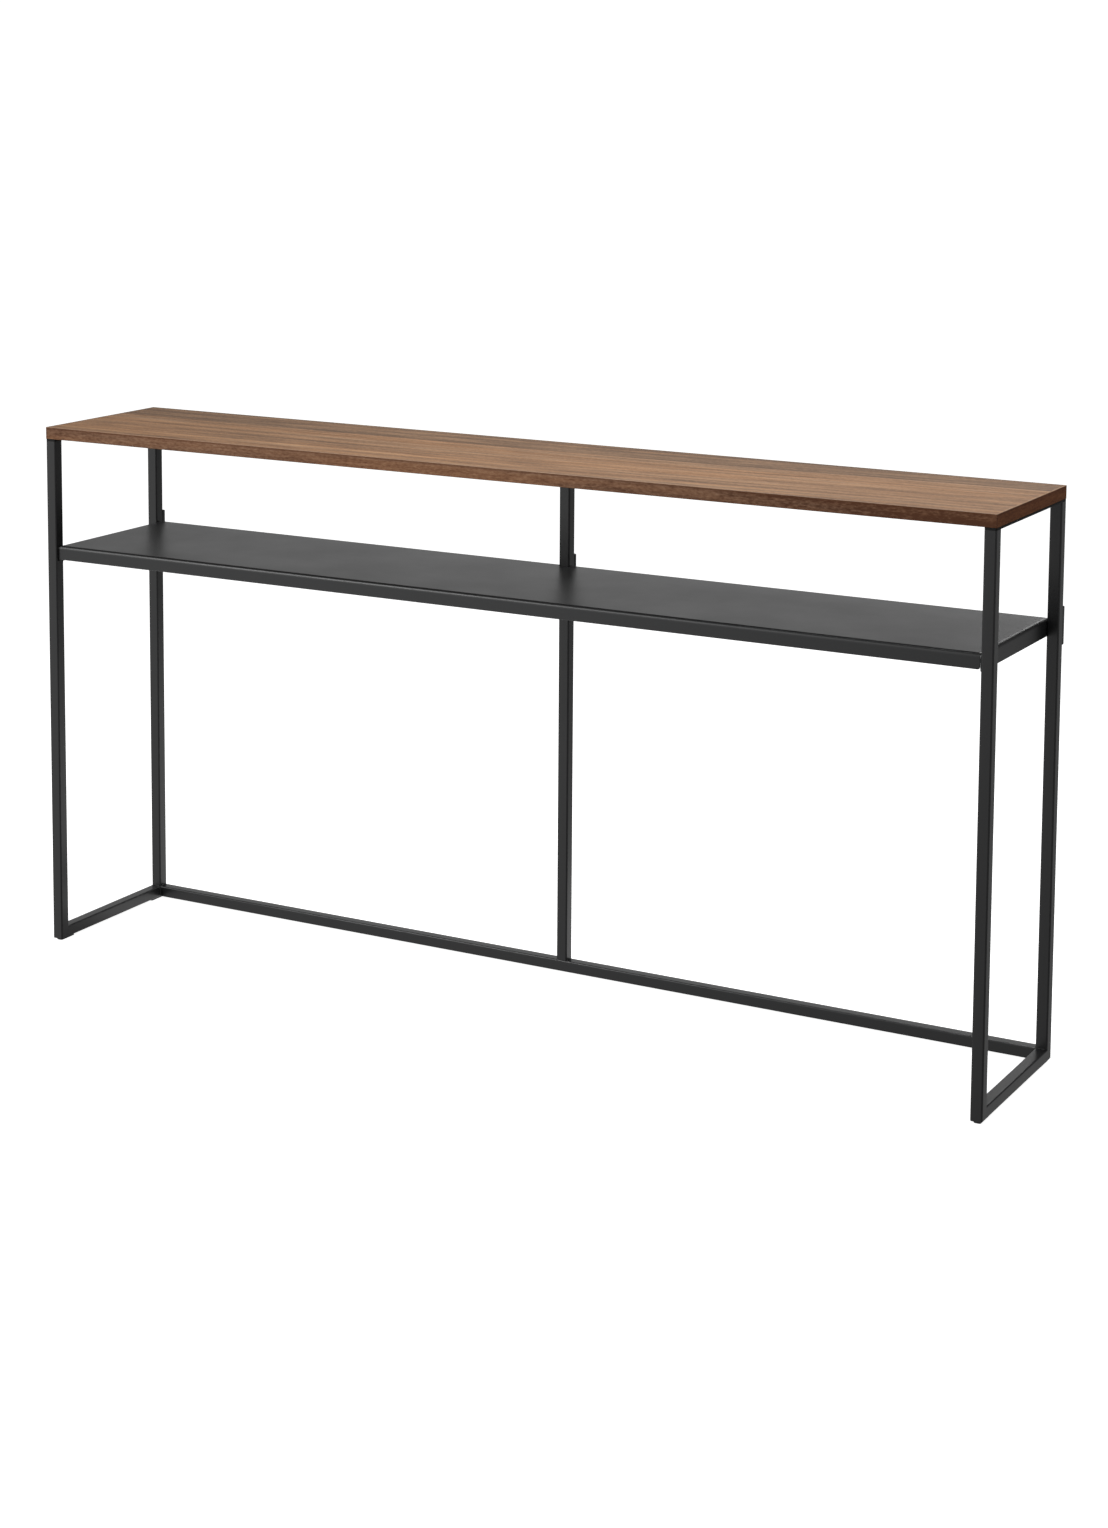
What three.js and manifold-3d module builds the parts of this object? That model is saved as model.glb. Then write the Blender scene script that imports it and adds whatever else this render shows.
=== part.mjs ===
// Console table: a narrow wood-effect top and a folded steel shelf on a frame of square steel tube.
// Units are millimetres, +Z is up, +X runs along the table and -Y is its front.
// The origin is on the floor, under the middle of the table's bounding box.
import * as THREE from 'three';
import { mergeVertices } from 'three/addons/utils/BufferGeometryUtils.js';
import Module from 'manifold-3d';

const wasm = await Module();
wasm.setup();

// ---- driving dimensions -------------------------------------------------------------------------
const LENGTH = 1420;
const FRAME_DEPTH = 252;
const HEIGHT = 750;

// Tabletop: a chipboard core, a decor sheet above, a backing sheet below and a band on each edge.
const BOARD_THICKNESS = 17;
const DECOR_THICKNESS = 0.6;
const BACKING_THICKNESS = 0.4;
const BAND_THICKNESS = 1;
const BAND_ROUNDING = 0.8;

// Frame: square tube with rounded corners.
const TUBE = 16;
const TUBE_WALL = 1.5;
const TUBE_CORNER = 2;
const BAR_THICKNESS = 3;
const BAR_CORNER = 3;
const WELD_GAP = 0.3;

// Glides under the two side frames.
const GLIDE_HEIGHT = 3;
const GLIDE_WIDTH = 10;
const GLIDE_LENGTH = 30;
const GLIDE_SETBACK = 3;
const GLIDE_STEM_RADIUS = 2.5;
const GLIDE_STEM_LENGTH = 8;

// Shelf: a sheet folded down along all four sides.
const SHELF_TOP = 580;
const SHEET = 1.5;
const SHELF_BEND = 3;
const SHELF_LONG_FLANGE = 20;
const SHELF_END_FLANGE = 23;
const SHELF_SETBACK = 4;
const SHELF_END_GAP = 0.5;
const POST_NOTCH_GAP = 0.75;
const POST_TAB_WIDTH = 12;
const POST_TAB_DEPTH = 17;

// Plates on the backs of the three rear uprights, level with the shelf.
const REAR_PLATE_DEPTH = 5;
const REAR_PLATE_HEIGHT = 50;
const REAR_PLATE_CORNER = 1.5;

// Plate on top of the centre post.
const POST_PLATE_WIDTH = 60;
const POST_PLATE_DEPTH = 40;

// Wood screws up into the tabletop, and machine screws that hold the shelf.
const WOOD_SCREW = { headRadius: 4, headHeight: 2.4, shankRadius: 1.9, length: 15 };
const SHELF_SCREW = { headRadius: 4, headHeight: 2.8, shankRadius: 2.4, length: 12 };
const HOLE_CLEARANCE = 0.4;
const TOP_SCREW_INSET = 50;
const POST_SCREW_OFFSET = 20;
const SHELF_SCREW_INSET = 11.5;

// Smoothness of the small curves, in segments.
const CORNER_SEGMENTS = 3;
const ROUND_SEGMENTS = 14;

// ---- derived positions --------------------------------------------------------------------------
const HALF = LENGTH / 2;
const FRONT = -(FRAME_DEPTH + REAR_PLATE_DEPTH) / 2;
const BACK = FRONT + FRAME_DEPTH;
const MIDDLE = (FRONT + BACK) / 2;
const FRAME_BASE = GLIDE_HEIGHT;
const BOARD_BASE = HEIGHT - BOARD_THICKNESS;
const UPRIGHT_TOP = BOARD_BASE - BAR_THICKNESS;
const RAIL_TOP = FRAME_BASE + TUBE;
const SHELF_HALF = HALF - TUBE - SHELF_END_GAP;
const SHELF_FRONT = FRONT + SHELF_SETBACK;
const SHELF_BACK = BACK - SHELF_SETBACK;
const SHELF_SCREW_Z = SHELF_TOP - SHELF_LONG_FLANGE / 2;
const POST_FRONT = BACK - TUBE;
const SIDES = [['left', -1], ['right', 1]];

// ---- materials ----------------------------------------------------------------------------------
const finish = (color, roughness, metalness) =>
  new THREE.MeshStandardMaterial({ color, roughness, metalness });
const MATERIALS = {
  walnut: finish(0x9a7a62, 0.5, 0),
  walnutEdge: finish(0x6b4a37, 0.5, 0),
  chipboard: finish(0xb89a72, 0.9, 0),
  backing: finish(0x5a4234, 0.7, 0),
  blackSteel: finish(0x2b2c2d, 0.5, 0.2),
  screwSteel: finish(0x3a3a3c, 0.4, 0.8),
  blackPlastic: finish(0x161616, 0.6, 0),
};

// ---- solids -------------------------------------------------------------------------------------
// A closed geometry as a solid that can be cut and joined.
function toSolid(geometry) {
  const bare = geometry.index ? geometry.toNonIndexed() : geometry.clone();
  bare.deleteAttribute('normal');
  bare.deleteAttribute('uv');
  const merged = mergeVertices(bare, 1e-4);
  return new wasm.Manifold(new wasm.Mesh({
    numProp: 3,
    vertProperties: new Float32Array(merged.attributes.position.array),
    triVerts: new Uint32Array(merged.index.array),
  }));
}

// A solid back as a geometry.
function toGeometry(solid) {
  const mesh = solid.getMesh();
  const geometry = new THREE.BufferGeometry();
  geometry.setAttribute('position', new THREE.BufferAttribute(mesh.vertProperties, 3));
  geometry.setIndex(new THREE.BufferAttribute(mesh.triVerts, 1));
  geometry.computeVertexNormals();
  return geometry;
}

// One geometry without the shapes of the others.
function cut(geometry, tools) {
  return toGeometry(tools.reduce((solid, tool) => solid.subtract(toSolid(tool)), toSolid(geometry)));
}

// Overlapping geometries as one.
function join(geometries) {
  return toGeometry(geometries.map(toSolid).reduce((whole, solid) => whole.add(solid)));
}

// ---- shapes -------------------------------------------------------------------------------------
// A rectangle centred on the origin, with rounded corners.
function roundedRectangle(width, height, radius, Kind = THREE.Shape) {
  const x = width / 2;
  const y = height / 2;
  const shape = new Kind();
  shape.moveTo(x, y - radius);
  shape.absarc(x - radius, y - radius, radius, 0, Math.PI / 2, false);
  shape.absarc(radius - x, y - radius, radius, Math.PI / 2, Math.PI, false);
  shape.absarc(radius - x, radius - y, radius, Math.PI, 1.5 * Math.PI, false);
  shape.absarc(x - radius, radius - y, radius, 1.5 * Math.PI, 2 * Math.PI, false);
  shape.closePath();
  return shape;
}

// A shape pushed along +Z from 0 to the given length.
function extrude(shape, length) {
  return new THREE.ExtrudeGeometry(shape, {
    depth: length,
    bevelEnabled: false,
    steps: 1,
    curveSegments: CORNER_SEGMENTS,
  });
}

// Turns a geometry made along +Z so that it runs along +X, with its own x along +Y and y along +Z.
function alongX(geometry) {
  const turned = new THREE.Matrix4().makeBasis(
    new THREE.Vector3(0, 1, 0), new THREE.Vector3(0, 0, 1), new THREE.Vector3(1, 0, 0));
  return geometry.applyMatrix4(turned);
}

// Turns a geometry made along +Z so that it runs along +Y, with its own x along +Z and y along +X.
function alongY(geometry) {
  const turned = new THREE.Matrix4().makeBasis(
    new THREE.Vector3(0, 0, 1), new THREE.Vector3(1, 0, 0), new THREE.Vector3(0, 1, 0));
  return geometry.applyMatrix4(turned);
}

// A box from one corner to the opposite one.
function box(x0, x1, y0, y1, z0, z1) {
  return new THREE.BoxGeometry(x1 - x0, y1 - y0, z1 - z0)
    .translate((x0 + x1) / 2, (y0 + y1) / 2, (z0 + z1) / 2);
}

// An upright cylinder that stands on z = 0.
function cylinder(radius, length) {
  return new THREE.CylinderGeometry(radius, radius, length, ROUND_SEGMENTS)
    .rotateX(Math.PI / 2)
    .translate(0, 0, length / 2);
}

// Square tube along +Z, open at both ends. mitres holds, for the foot and the top, how far the end
// face climbs along the tube for each millimetre across it: 0 is a square cut and 1 a mitre.
function squareTube(length, mitres = [0, 0]) {
  const outline = roundedRectangle(TUBE, TUBE, TUBE_CORNER);
  const bore = TUBE - 2 * TUBE_WALL;
  outline.holes.push(roundedRectangle(bore, bore, TUBE_CORNER - TUBE_WALL, THREE.Path));
  const tube = extrude(outline, length);
  const points = tube.attributes.position;
  for (let i = 0; i < points.count; i += 1) {
    const top = points.getZ(i) > length / 2;
    points.setZ(i, points.getZ(i) + mitres[top ? 1 : 0] * points.getY(i));
  }
  return tube;
}

// A round-headed screw along +Z: the shank starts at z = 0 and the head is below it.
function screw({ headRadius, headHeight, shankRadius, length }) {
  const rounding = 0.8;
  const point = shankRadius;
  const profile = [
    [0, -headHeight],
    [headRadius - 2 * rounding, -headHeight],
    [headRadius - rounding / 2, rounding - headHeight],
    [headRadius, 2 * rounding - headHeight],
    [headRadius, 0],
    [shankRadius, 0],
    [shankRadius, length - point],
    [shankRadius / 2, length],
    [0, length],
  ].map(([x, y]) => new THREE.Vector2(x, y));
  return new THREE.LatheGeometry(profile, ROUND_SEGMENTS).rotateX(Math.PI / 2);
}

// ---- the scene ----------------------------------------------------------------------------------
const table = new THREE.Group();
table.name = 'console_table';

function place(name, geometry, material, position = [0, 0, 0]) {
  const mesh = new THREE.Mesh(geometry, material);
  mesh.name = name;
  mesh.position.set(...position);
  table.add(mesh);
}

// Every screw into the tabletop: [name, x, y].
const TOP_SCREWS = [
  ...SIDES.flatMap(([side, sign]) => [
    [`${side}_front_top_screw`, sign * (HALF - TUBE / 2), FRONT + TOP_SCREW_INSET],
    [`${side}_back_top_screw`, sign * (HALF - TUBE / 2), BACK - TOP_SCREW_INSET],
  ]),
  ['post_left_top_screw', -POST_SCREW_OFFSET, BACK - POST_PLATE_DEPTH / 2],
  ['post_right_top_screw', POST_SCREW_OFFSET, BACK - POST_PLATE_DEPTH / 2],
];

// ---- tabletop -----------------------------------------------------------------------------------
function topScrewHoles(baseZ, depth) {
  const radius = WOOD_SCREW.shankRadius + HOLE_CLEARANCE;
  return TOP_SCREWS.map(([, x, y]) => cylinder(radius, depth).translate(x, y, baseZ));
}

function addTabletop() {
  const x = HALF - BAND_THICKNESS;
  const y0 = FRONT + BAND_THICKNESS;
  const y1 = BACK - BAND_THICKNESS;
  const coreBase = BOARD_BASE + BACKING_THICKNESS;
  const coreTop = HEIGHT - DECOR_THICKNESS;
  const holeDepth = WOOD_SCREW.length - BAR_THICKNESS + 1;
  place('tabletop_core', cut(box(-x, x, y0, y1, coreBase, coreTop),
    topScrewHoles(BOARD_BASE - 1, holeDepth + 1)), MATERIALS.chipboard);
  place('tabletop_backing', cut(box(-x, x, y0, y1, BOARD_BASE, coreBase),
    topScrewHoles(BOARD_BASE - 1, 3)), MATERIALS.backing);
  place('tabletop_decor', box(-x, x, y0, y1, coreTop, HEIGHT), MATERIALS.walnut);

  // The bands: a strip on edge whose two outer corners are rounded over.
  const band = new THREE.Shape();
  const t = BAND_THICKNESS;
  const r = BAND_ROUNDING;
  band.moveTo(t, 0);
  band.lineTo(t, BOARD_THICKNESS);
  band.lineTo(r, BOARD_THICKNESS);
  band.absarc(r, BOARD_THICKNESS - r, r, Math.PI / 2, Math.PI, false);
  band.lineTo(0, r);
  band.absarc(r, r, r, Math.PI, 1.5 * Math.PI, false);
  band.closePath();
  const front = alongX(extrude(band, LENGTH)).translate(-HALF, FRONT, BOARD_BASE);
  place('front_edge_band', front, MATERIALS.walnutEdge);
  place('back_edge_band', front.clone().rotateZ(Math.PI).translate(0, 2 * MIDDLE, 0),
    MATERIALS.walnutEdge);
  const end = alongX(extrude(band, y1 - y0)).rotateZ(-Math.PI / 2);
  place('left_edge_band', end.clone().translate(-HALF, y1, BOARD_BASE), MATERIALS.walnutEdge);
  place('right_edge_band', end.clone().rotateZ(Math.PI).translate(HALF, y0, BOARD_BASE),
    MATERIALS.walnutEdge);
}

// ---- side frames --------------------------------------------------------------------------------
function addSideFrame(side, sign) {
  const x = sign * (HALF - TUBE / 2);
  const legLength = UPRIGHT_TOP - FRAME_BASE;
  const innerWall = x - sign * TUBE / 2;
  const screwHole = (y) => cylinder(SHELF_SCREW.shankRadius + HOLE_CLEARANCE, 2 * TUBE_WALL)
    .rotateY(Math.PI / 2)
    .translate(innerWall - TUBE_WALL, y, SHELF_SCREW_Z);

  // Legs are mitred into the bottom rail. The mitre's middle is half a tube above the base.
  const mitreZ = FRAME_BASE + TUBE / 2 + WELD_GAP / 2;
  for (const [end, y, slope] of [['front', FRONT + TUBE / 2, 1], ['back', BACK - TUBE / 2, -1]]) {
    const leg = squareTube(legLength - TUBE / 2 - WELD_GAP / 2, [slope, 0]);
    const screwY = end === 'front' ? FRONT + SHELF_SCREW_INSET : BACK - SHELF_SCREW_INSET;
    place(`${side}_${end}_leg`, cut(leg.translate(x, y, mitreZ), [screwHole(screwY)]),
      MATERIALS.blackSteel);
  }

  // Bottom rail, with a hole in its lower wall for each glide's stem.
  const railLength = FRAME_DEPTH - TUBE - WELD_GAP;
  const rail = squareTube(railLength, [-1, 1])
    .rotateX(-Math.PI / 2)
    .translate(x, FRONT + TUBE / 2 + WELD_GAP / 2, FRAME_BASE + TUBE / 2);
  const glideCentres = [FRONT + GLIDE_SETBACK + GLIDE_LENGTH / 2, BACK - GLIDE_SETBACK - GLIDE_LENGTH / 2];
  const stemHoles = glideCentres.map((y) =>
    cylinder(GLIDE_STEM_RADIUS + HOLE_CLEARANCE, 2 * TUBE_WALL).translate(x, y, FRAME_BASE - TUBE_WALL / 2));
  place(`${side}_bottom_rail`, cut(rail, stemHoles), MATERIALS.blackSteel);

  // Flat bar across the tops of the two legs.
  const bar = extrude(roundedRectangle(TUBE, FRAME_DEPTH, BAR_CORNER), BAR_THICKNESS)
    .translate(x, MIDDLE, UPRIGHT_TOP);
  const barHoles = TOP_SCREWS.map(([, holeX, holeY]) =>
    cylinder(WOOD_SCREW.shankRadius + HOLE_CLEARANCE, 3 * BAR_THICKNESS)
      .translate(holeX, holeY, UPRIGHT_TOP - BAR_THICKNESS));
  place(`${side}_top_bar`, cut(bar, barHoles), MATERIALS.blackSteel);

  // Glides: a pad under the rail with a stem up into it.
  ['front', 'back'].forEach((end, i) => {
    const pad = extrude(roundedRectangle(GLIDE_WIDTH, GLIDE_LENGTH, 3), GLIDE_HEIGHT);
    const stem = cylinder(GLIDE_STEM_RADIUS, GLIDE_STEM_LENGTH);
    place(`${side}_${end}_glide`, join([pad, stem]), MATERIALS.blackPlastic,
      [x, glideCentres[i], 0]);
  });
}

// ---- back rail and centre post ------------------------------------------------------------------
function addBackFrame() {
  const y = BACK - TUBE / 2;
  const railHalf = HALF - TUBE;
  place('back_bottom_rail', alongX(squareTube(2 * railHalf)), MATERIALS.blackSteel,
    [-railHalf, y, FRAME_BASE + TUBE / 2]);

  const screwHole = cylinder(SHELF_SCREW.shankRadius + HOLE_CLEARANCE, 2 * TUBE_WALL)
    .rotateX(Math.PI / 2)
    .translate(0, POST_FRONT + 1.5 * TUBE_WALL, SHELF_SCREW_Z);
  const post = squareTube(UPRIGHT_TOP - RAIL_TOP).translate(0, y, RAIL_TOP);
  place('centre_post', cut(post, [screwHole]), MATERIALS.blackSteel);

  const plate = extrude(roundedRectangle(POST_PLATE_WIDTH, POST_PLATE_DEPTH, BAR_CORNER), BAR_THICKNESS)
    .translate(0, BACK - POST_PLATE_DEPTH / 2, UPRIGHT_TOP);
  const holes = TOP_SCREWS.map(([, holeX, holeY]) =>
    cylinder(WOOD_SCREW.shankRadius + HOLE_CLEARANCE, 3 * BAR_THICKNESS)
      .translate(holeX, holeY, UPRIGHT_TOP - BAR_THICKNESS));
  place('centre_post_top_plate', cut(plate, holes), MATERIALS.blackSteel);

  const uprights = [['left', TUBE / 2 - HALF], ['centre', 0], ['right', HALF - TUBE / 2]];
  for (const [which, x] of uprights) {
    const rearPlate = extrude(roundedRectangle(REAR_PLATE_HEIGHT, TUBE, REAR_PLATE_CORNER), REAR_PLATE_DEPTH);
    place(`${which}_rear_plate`, alongY(rearPlate), MATERIALS.blackSteel, [x, BACK, SHELF_SCREW_Z]);
  }
}

// ---- shelf --------------------------------------------------------------------------------------
// Cross-section of a sheet with both edges folded down, centred on x = 0 with its top at y = 0.
function foldedSection(width, flange) {
  const x = width / 2;
  const outer = SHELF_BEND;
  const inner = SHELF_BEND - SHEET;
  const section = new THREE.Shape();
  section.moveTo(-x, -flange);
  section.lineTo(SHEET - x, -flange);
  section.lineTo(SHEET - x, -outer);
  section.absarc(outer - x, -outer, inner, Math.PI, Math.PI / 2, true);
  section.lineTo(x - outer, -SHEET);
  section.absarc(x - outer, -outer, inner, Math.PI / 2, 0, true);
  section.lineTo(x - SHEET, -flange);
  section.lineTo(x, -flange);
  section.lineTo(x, -outer);
  section.absarc(x - outer, -outer, outer, 0, Math.PI / 2, false);
  section.lineTo(outer - x, 0);
  section.absarc(outer - x, -outer, outer, Math.PI / 2, Math.PI, false);
  section.closePath();
  return section;
}

function addShelf() {
  const depth = SHELF_BACK - SHELF_FRONT;
  const shelfY = (SHELF_FRONT + SHELF_BACK) / 2;
  // Long flanges stop short of the ends and end flanges short of the front and back, which leaves
  // the four corners open.
  const longFolds = alongX(extrude(foldedSection(depth, SHELF_LONG_FLANGE), 2 * (SHELF_HALF - SHELF_BEND)))
    .translate(SHELF_BEND - SHELF_HALF, shelfY, SHELF_TOP);
  const endFolds = extrude(foldedSection(2 * SHELF_HALF, SHELF_END_FLANGE), depth - 2 * SHELF_BEND)
    .rotateX(Math.PI / 2)
    .translate(0, SHELF_BACK - SHELF_BEND, SHELF_TOP);
  const notchFront = POST_FRONT - POST_NOTCH_GAP;
  const tab = box(-POST_TAB_WIDTH / 2, POST_TAB_WIDTH / 2, notchFront - SHEET, notchFront,
    SHELF_TOP - POST_TAB_DEPTH, SHELF_TOP - SHEET / 2);
  const notchHalf = TUBE / 2 + POST_NOTCH_GAP;
  const notch = box(-notchHalf, notchHalf, notchFront, SHELF_BACK + 1,
    SHELF_TOP - 2 * SHELF_LONG_FLANGE, SHELF_TOP + 1);
  const screwRadius = SHELF_SCREW.shankRadius + HOLE_CLEARANCE;
  const screwYs = [FRONT + SHELF_SCREW_INSET, BACK - SHELF_SCREW_INSET];
  const endHoles = SIDES.flatMap(([, sign]) => screwYs.map((y) => cylinder(screwRadius, 4 * SHEET)
    .rotateY(Math.PI / 2)
    .translate(sign * SHELF_HALF - 2 * SHEET, y, SHELF_SCREW_Z)));
  const tabHole = cylinder(screwRadius, 4 * SHEET)
    .rotateX(Math.PI / 2)
    .translate(0, notchFront + SHEET, SHELF_SCREW_Z);
  const folded = join([longFolds, endFolds, tab]);
  place('shelf_tray', cut(folded, [notch, tabHole, ...endHoles]), MATERIALS.blackSteel);
}

// ---- screws -------------------------------------------------------------------------------------
function addScrews() {
  for (const [name, x, y] of TOP_SCREWS) {
    place(name, screw(WOOD_SCREW), MATERIALS.screwSteel, [x, y, UPRIGHT_TOP]);
  }
  for (const [side, sign] of SIDES) {
    const seat = sign * (SHELF_HALF - SHEET);
    const turned = screw(SHELF_SCREW).rotateY(sign * Math.PI / 2);
    place(`${side}_front_shelf_screw`, turned, MATERIALS.screwSteel,
      [seat, FRONT + SHELF_SCREW_INSET, SHELF_SCREW_Z]);
    place(`${side}_back_shelf_screw`, turned.clone(), MATERIALS.screwSteel,
      [seat, BACK - SHELF_SCREW_INSET, SHELF_SCREW_Z]);
  }
  place('post_shelf_screw', screw(SHELF_SCREW).rotateX(-Math.PI / 2), MATERIALS.screwSteel,
    [0, POST_FRONT - POST_NOTCH_GAP - SHEET, SHELF_SCREW_Z]);
}

addTabletop();
SIDES.forEach(([side, sign]) => addSideFrame(side, sign));
addBackFrame();
addShelf();
addScrews();

export default table;
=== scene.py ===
"""A console table: a walnut-effect board and a folded steel shelf on a frame of square steel tube.

Every size comes from the CAD nodes' boxes, in metres. +X runs along the table, -Y is its front and
+Z is up. A piece stands for the CAD node whose name it carries. The weld beads and the shelf's tab
stand for none, because the CAD has no beads and its shelf has the tab in one piece with the sheet.
"""
import math
import random

import bpy
from mathutils import Matrix, Vector


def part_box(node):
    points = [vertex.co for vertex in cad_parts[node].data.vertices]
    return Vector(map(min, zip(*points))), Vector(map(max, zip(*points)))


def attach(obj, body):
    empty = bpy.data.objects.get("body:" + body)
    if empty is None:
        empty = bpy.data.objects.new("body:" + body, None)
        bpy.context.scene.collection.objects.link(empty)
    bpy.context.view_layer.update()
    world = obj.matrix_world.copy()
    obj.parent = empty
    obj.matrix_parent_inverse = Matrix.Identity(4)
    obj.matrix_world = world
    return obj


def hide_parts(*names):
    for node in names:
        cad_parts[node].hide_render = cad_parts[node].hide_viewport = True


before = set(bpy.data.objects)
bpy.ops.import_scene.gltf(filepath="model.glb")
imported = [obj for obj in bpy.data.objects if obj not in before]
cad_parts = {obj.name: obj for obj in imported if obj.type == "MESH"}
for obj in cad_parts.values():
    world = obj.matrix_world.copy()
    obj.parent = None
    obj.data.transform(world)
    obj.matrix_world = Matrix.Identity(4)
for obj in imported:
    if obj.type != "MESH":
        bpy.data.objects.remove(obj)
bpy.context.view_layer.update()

MM = 0.001
BODY = "root"

# ---- camera: metres, degrees, and millimetres of lens ---------------------------------------------
CAMERA_PLACE = (1.8450, -3.2788, 1.3148)
CAMERA_TURN = 28.814
CAMERA_DOWN = 6.775
CAMERA_ROLL = 0.361
CAMERA_LENS = 66.946
CAMERA_SENSOR = 36.0
CAMERA_SHIFT = -0.26

# ---- shapes ---------------------------------------------------------------------------------------
TUBE_CORNER = 2.0 * MM
CORNER_STEPS = 7
EDGE_STEPS = 4
SHARP_ANGLE = math.radians(38)
QUARTER_TURN = math.radians(90)
TINY = 1e-6

random.seed(7)

DECOR_LOW, DECOR_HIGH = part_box("tabletop_decor")


# ---- node graphs ----------------------------------------------------------------------------------
class Graph:
    """A node tree, with one short method for each kind of node that it needs."""

    def __init__(self, tree):
        self.tree = tree

    def node(self, kind, **settings):
        made = self.tree.nodes.new(kind)
        for key, value in settings.items():
            setattr(made, key, value)
        return made

    def feed(self, socket, value):
        """Links an output to a socket, or sets the socket to a plain value."""
        if isinstance(value, bpy.types.NodeSocket):
            self.tree.links.new(value, socket)
        else:
            socket.default_value = value

    def place(self):
        return self.node("ShaderNodeTexCoord").outputs["Object"]

    def axes(self, vector):
        split = self.node("ShaderNodeSeparateXYZ")
        self.feed(split.inputs[0], vector)
        return split.outputs

    def vector(self, x, y, z):
        joined = self.node("ShaderNodeCombineXYZ")
        for socket, value in zip(joined.inputs, (x, y, z)):
            self.feed(socket, value)
        return joined.outputs[0]

    def stretch(self, vector, scale, shift=(0, 0, 0)):
        mapping = self.node("ShaderNodeMapping")
        self.feed(mapping.inputs["Vector"], vector)
        mapping.inputs["Scale"].default_value = scale
        mapping.inputs["Location"].default_value = shift
        return mapping.outputs[0]

    def noise(self, vector, scale=1.0, detail=2.0, roughness=0.5, distortion=0.0):
        made = self.node("ShaderNodeTexNoise")
        self.feed(made.inputs["Vector"], vector)
        made.inputs["Scale"].default_value = scale
        made.inputs["Detail"].default_value = detail
        made.inputs["Roughness"].default_value = roughness
        made.inputs["Distortion"].default_value = distortion
        return made.outputs["Fac"]

    def math(self, operation, a, b=0.0, c=0.0):
        made = self.node("ShaderNodeMath", operation=operation)
        for socket, value in zip(made.inputs, (a, b, c)):
            self.feed(socket, value)
        return made.outputs[0]

    def remap(self, value, low, high, to_low=0.0, to_high=1.0, smooth=False):
        made = self.node("ShaderNodeMapRange")
        made.interpolation_type = "SMOOTHSTEP" if smooth else "LINEAR"
        for socket, given in zip(made.inputs, (value, low, high, to_low, to_high)):
            self.feed(socket, given)
        return made.outputs[0]

    def ramp(self, value, stops):
        made = self.node("ShaderNodeValToRGB")
        self.feed(made.inputs[0], value)
        points = made.color_ramp.elements
        while len(points) < len(stops):
            points.new(0.5)
        for point, (position, colour) in zip(points, stops):
            point.position = position
            point.color = (*colour, 1)
        return made.outputs[0]

    def mix(self, factor, a, b):
        """A colour factor of the way from a to b."""
        made = self.node("ShaderNodeMix", data_type="RGBA", blend_type="MIX")
        for socket, value in zip((made.inputs[0], made.inputs[6], made.inputs[7]), (factor, a, b)):
            self.feed(socket, (*value, 1) if isinstance(value, tuple) else value)
        return made.outputs[2]

    def bump(self, height, distance, strength, under=None):
        made = self.node("ShaderNodeBump")
        made.inputs["Strength"].default_value = strength
        made.inputs["Distance"].default_value = distance
        self.feed(made.inputs["Height"], height)
        if under is not None:
            self.feed(made.inputs["Normal"], under)
        return made.outputs[0]


class MaterialGraph(Graph):
    """The node tree of a new material, round its one Principled shader."""

    def __init__(self, name):
        self.material = bpy.data.materials.new(name)
        self.material.use_nodes = True
        super().__init__(self.material.node_tree)
        self.shader = self.tree.nodes["Principled BSDF"]

    def finish(self, colour, roughness, normal=None, **plain):
        """Feeds the shader. plain sets its other sockets, with _ for each space in their names."""
        self.feed(self.shader.inputs["Base Color"], colour)
        self.feed(self.shader.inputs["Roughness"], roughness)
        if normal is not None:
            self.feed(self.shader.inputs["Normal"], normal)
        for key, value in plain.items():
            self.shader.inputs[key.replace("_", " ")].default_value = value
        return self.material


def centred(graph, value, gain):
    """gain times how far a 0 to 1 value is from its middle."""
    return graph.math("MULTIPLY", graph.math("SUBTRACT", value, 0.5), gain)


# ---- wood -----------------------------------------------------------------------------------------
# Layers of noise: stretch along, across and up the grain, shift, detail, roughness and distortion.
WOOD_LAYERS = {
    "tone": ((1.3, 40, 40), (0, 0, 0), 1.0, 0.5, 0.0),
    "line": ((1.3, 80, 80), (3, 1, 0), 4.0, 0.63, 0.0),
    "fleck": ((11, 95, 95), (0, 5, 2), 4.0, 0.66, 0.4),
    "fine": ((150, 420, 420), (7, 0, 1), 2.0, 0.6, 0.0),
    "pore": ((45, 1300, 1300), (1, 2, 3), 1.0, 0.5, 0.0),
    "hue": ((2, 60, 60), (9, 4, 0), 3.0, 0.6, 0.0),
}
# How strongly the broad tones, long lines, short flecks and fine mottling show.
SHOWN_LAYERS = ("tone", "line", "fleck", "fine")
FACE_GAINS = (0.35, 1.02, 0.90, 0.75)
BAND_GAINS = (0.12, 0.55, 0.62, 0.70)
# Where the hue's noise runs from warm to cool, and where the pores' noise turns into pores.
COOL_RANGE = (0.38, 0.66)
PORE_RANGE = (0.60, 0.70)
PORE_DARKER = 0.35
PORE_DEEPER = 0.8
# The grain wanders a little from side to side, and sweeps over towards the right-hand end.
GRAIN_WANDER = 10 * MM
GRAIN_SWEEP = 26 * MM
SWEEP_LENGTH = 0.75
# A greyer, darker plank along the back of the top, and the pale seam in front of it.
PLANK_START = 34 * MM
PLANK_END = 44 * MM
PLANK_DARKER = 0.17
PLANK_COOLER = 0.75
SEAM_MIDDLE = 37 * MM
SEAM_HALF = 3.5 * MM
SEAM_PALER = 0.26
SEAM_WAVER = 8 * MM
# The top's rims, painted shade along the back and left edges and a painted highlight along the right edge:
# how far in from the edge each one starts and is full, and how much it changes.
BACK_RIM_SHADE = (6 * MM, 2 * MM, 0.32)
LEFT_RIM_SHADE = (4 * MM, 1.5 * MM, 0.25)
RIGHT_RIM_HIGHLIGHT = (2 * MM, 0.5 * MM, 0.18)
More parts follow.
